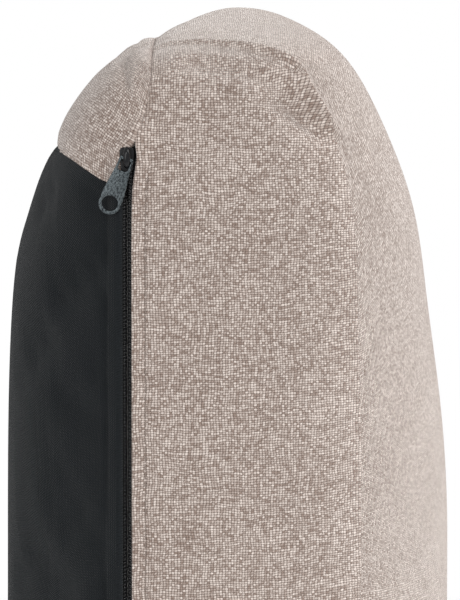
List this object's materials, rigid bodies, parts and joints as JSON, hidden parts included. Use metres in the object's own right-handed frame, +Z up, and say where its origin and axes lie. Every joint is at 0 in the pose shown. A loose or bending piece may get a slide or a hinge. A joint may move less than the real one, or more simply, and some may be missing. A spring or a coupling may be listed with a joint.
{
  "type": "lumbar support cushion",
  "caption": "Upright lumbar support cushion: foam block in a liner inside a two-colour woven cover with a side zip and pull tab.",
  "frame": {"origin": "under the middle of the cushion's bounding box, on the surface it stands on", "axes": "+Z up, +X along the width away from the zip end, +Y towards the chair's backrest; the sitter leans on the -Y face"},
  "size_m": [0.384, 0.165, 0.345],
  "materials": {
    "beige_cloth": "melange linen-look weave, matt",
    "black_cloth": "fine ribbed knit, matt",
    "liner_cloth": "thin white knit, matt",
    "foam": "flexible open-cell foam, matt",
    "zip_tape": "woven tape, matt",
    "zip_coil": "black nylon coil, satin",
    "slider_metal": "black painted die-cast metal, semi-gloss",
    "tab_metal": "dark gunmetal, brushed, bright at the rims"
  },
  "bodies": {
    "cushion": {"foam_core": "foam", "inner_liner": "liner_cloth", "front_cover": "beige_cloth", "back_yoke": "beige_cloth", "back_panel": "black_cloth", "zipper_tape_side": "zip_tape", "zipper_tape_back": "zip_tape", "zipper_coil_side": "zip_coil", "zipper_coil_back": "zip_coil", "top_stop_side": "slider_metal", "top_stop_back": "slider_metal", "bottom_stop": "slider_metal"},
    "slider": {"slider_body": "slider_metal"},
    "puller": {"pull_tab": "tab_metal"}
  },
  "joints": [
    {"name": "zip_run", "type": "slide", "parent": "cushion", "child": "slider", "axis": [0, 0, -1], "range_m": [0, 0.2402]},
    {"name": "pull_tab_flip", "type": "hinge", "parent": "slider", "child": "puller", "pos_m": [-0.1922, 0.0353, 0.2931], "axis": [0, 0.9336, 0.3584], "range_deg": [0, 165]}
  ]
}
